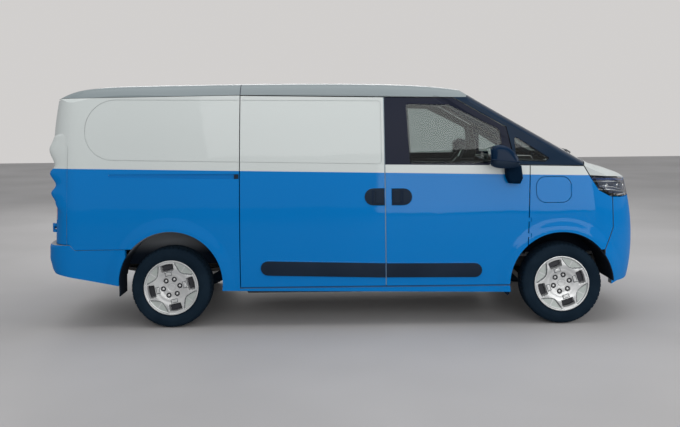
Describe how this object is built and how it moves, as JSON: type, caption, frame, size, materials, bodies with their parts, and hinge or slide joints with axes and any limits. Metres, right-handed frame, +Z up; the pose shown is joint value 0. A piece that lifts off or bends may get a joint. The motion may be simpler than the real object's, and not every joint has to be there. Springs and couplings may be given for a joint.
{
  "type": "panel van",
  "caption": "Compact electric panel van in white over blue, with opening cab doors, rear doors, bonnet and flap.",
  "frame": {"origin": "on the ground, on the centre plane, at mid overall length", "axes": "+X to the front, +Y to the vehicle's left, +Z up"},
  "size_m": [4.9827, 2.27, 2.0008],
  "materials": {
    "body_paint": "gloss two-tone paint, white over blue",
    "black_plastic": "grained black plastic",
    "black_panel": "gloss black panel",
    "glass": "lightly tinted glass",
    "lamp_lens": "clear lamp lens",
    "red_lens": "red lamp lens",
    "floor_paint": "satin grey primer",
    "cab_trim": "grained dark grey plastic",
    "seat_cloth": "dark grey woven cloth",
    "battery_case": "dark coated casing",
    "cast_alloy": "as-cast alloy",
    "chassis_steel": "satin black chassis paint",
    "wheel_silver": "silver paint",
    "tyre": "black rubber"
  },
  "bodies": {
    "body": {"side_panel_left": "body_paint", "side_panel_right": "body_paint", "sliding_door": "body_paint", "roof_panel": "body_paint", "fender_left": "body_paint", "fender_right": "body_paint", "front_bumper": "body_paint", "rear_bumper": "body_paint", "sliding_door_trim": "black_plastic", "wheel_housings": "black_plastic", "cab_frame": "black_panel", "cab_glass": "glass", "headlamps": "lamp_lens", "tail_lamps": "red_lens", "floor_pan": "floor_paint", "inner_frame": "floor_paint", "dashboard": "cab_trim", "seats": "seat_cloth", "battery_pack": "battery_case", "drive_unit": "cast_alloy", "front_subframe": "chassis_steel", "rear_axle": "chassis_steel", "chassis_rails": "chassis_steel"},
    "front_door_left": {"door_left": "body_paint", "door_glass_left": "glass", "door_trim_left": "black_plastic"},
    "front_door_right": {"door_right": "body_paint", "door_glass_right": "glass", "door_trim_right": "black_plastic"},
    "rear_door_left_body": {"rear_door_left": "body_paint", "rear_glass_left": "glass"},
    "rear_door_right_body": {"rear_door_right": "body_paint", "rear_glass_right": "glass"},
    "bonnet_body": {"bonnet": "body_paint"},
    "flap_body": {"charge_flap": "body_paint"},
    "steering_wheel_body": {"steering_wheel": "cab_trim"},
    "steer_left": {"knuckle_left": "chassis_steel"},
    "steer_right": {"knuckle_right": "chassis_steel"},
    "wheel_front_left": {"rim_front_left": "wheel_silver", "tyre_front_left": "tyre"},
    "wheel_front_right": {"rim_front_right": "wheel_silver", "tyre_front_right": "tyre"},
    "wheel_rear_left": {"rim_rear_left": "wheel_silver", "tyre_rear_left": "tyre"},
    "wheel_rear_right": {"rim_rear_right": "wheel_silver", "tyre_rear_right": "tyre"}
  },
  "joints": [
    {"name": "steering_left", "type": "hinge", "parent": "body", "child": "steer_left", "pos_m": [1.736, 0.72, 0.326], "axis": [0, 0, 1], "range_deg": [-33, 33]},
    {"name": "steering_right", "type": "hinge", "parent": "body", "child": "steer_right", "pos_m": [1.736, -0.72, 0.326], "axis": [0, 0, 1], "range_deg": [-33, 33]},
    {"name": "wheel_spin_front_left", "type": "hinge", "parent": "steer_left", "child": "wheel_front_left", "pos_m": [1.736, 0.805, 0.326], "axis": [0, 1, 0], "continuous": true},
    {"name": "wheel_spin_front_right", "type": "hinge", "parent": "steer_right", "child": "wheel_front_right", "pos_m": [1.736, -0.805, 0.326], "axis": [0, 1, 0], "continuous": true},
    {"name": "wheel_spin_rear_left", "type": "hinge", "parent": "body", "child": "wheel_rear_left", "pos_m": [-1.434, 0.805, 0.326], "axis": [0, 1, 0], "continuous": true},
    {"name": "wheel_spin_rear_right", "type": "hinge", "parent": "body", "child": "wheel_rear_right", "pos_m": [-1.434, -0.805, 0.326], "axis": [0, 1, 0], "continuous": true},
    {"name": "steering_wheel_turn", "type": "hinge", "parent": "body", "child": "steering_wheel_body", "pos_m": [1.05, 0.4, 1.235], "axis": [-0.848, 0, 0.5299], "range_deg": [-500, 500]},
    {"name": "door_left_hinge", "type": "hinge", "parent": "body", "child": "front_door_left", "pos_m": [1.48, 0.928, 0.9], "axis": [0, 0, -1], "range_deg": [0, 60]},
    {"name": "door_right_hinge", "type": "hinge", "parent": "body", "child": "front_door_right", "pos_m": [1.48, -0.928, 0.9], "axis": [0, 0, 1], "range_deg": [0, 60]},
    {"name": "rear_door_left_hinge", "type": "hinge", "parent": "body", "child": "rear_door_left_body", "pos_m": [-2.426, 0.764, 1.2], "axis": [0, 0, -1], "range_deg": [0, 95]},
    {"name": "rear_door_right_hinge", "type": "hinge", "parent": "body", "child": "rear_door_right_body", "pos_m": [-2.426, -0.764, 1.2], "axis": [0, 0, 1], "range_deg": [0, 95]},
    {"name": "bonnet_hinge", "type": "hinge", "parent": "body", "child": "bonnet_body", "pos_m": [1.926, 0, 1.298], "axis": [0, -1, 0], "range_deg": [0, 50]},
    {"name": "charge_flap_hinge", "type": "hinge", "parent": "body", "child": "flap_body", "pos_m": [1.8155, -0.927, 1.09], "axis": [0, 0, 1], "range_deg": [0, 100]}
  ],
  "couplings": [
    {"joint": "steering_right", "follows": "steering_left", "ratio": 1},
    {"joint": "steering_wheel_turn", "follows": "steering_left", "ratio": 15}
  ]
}
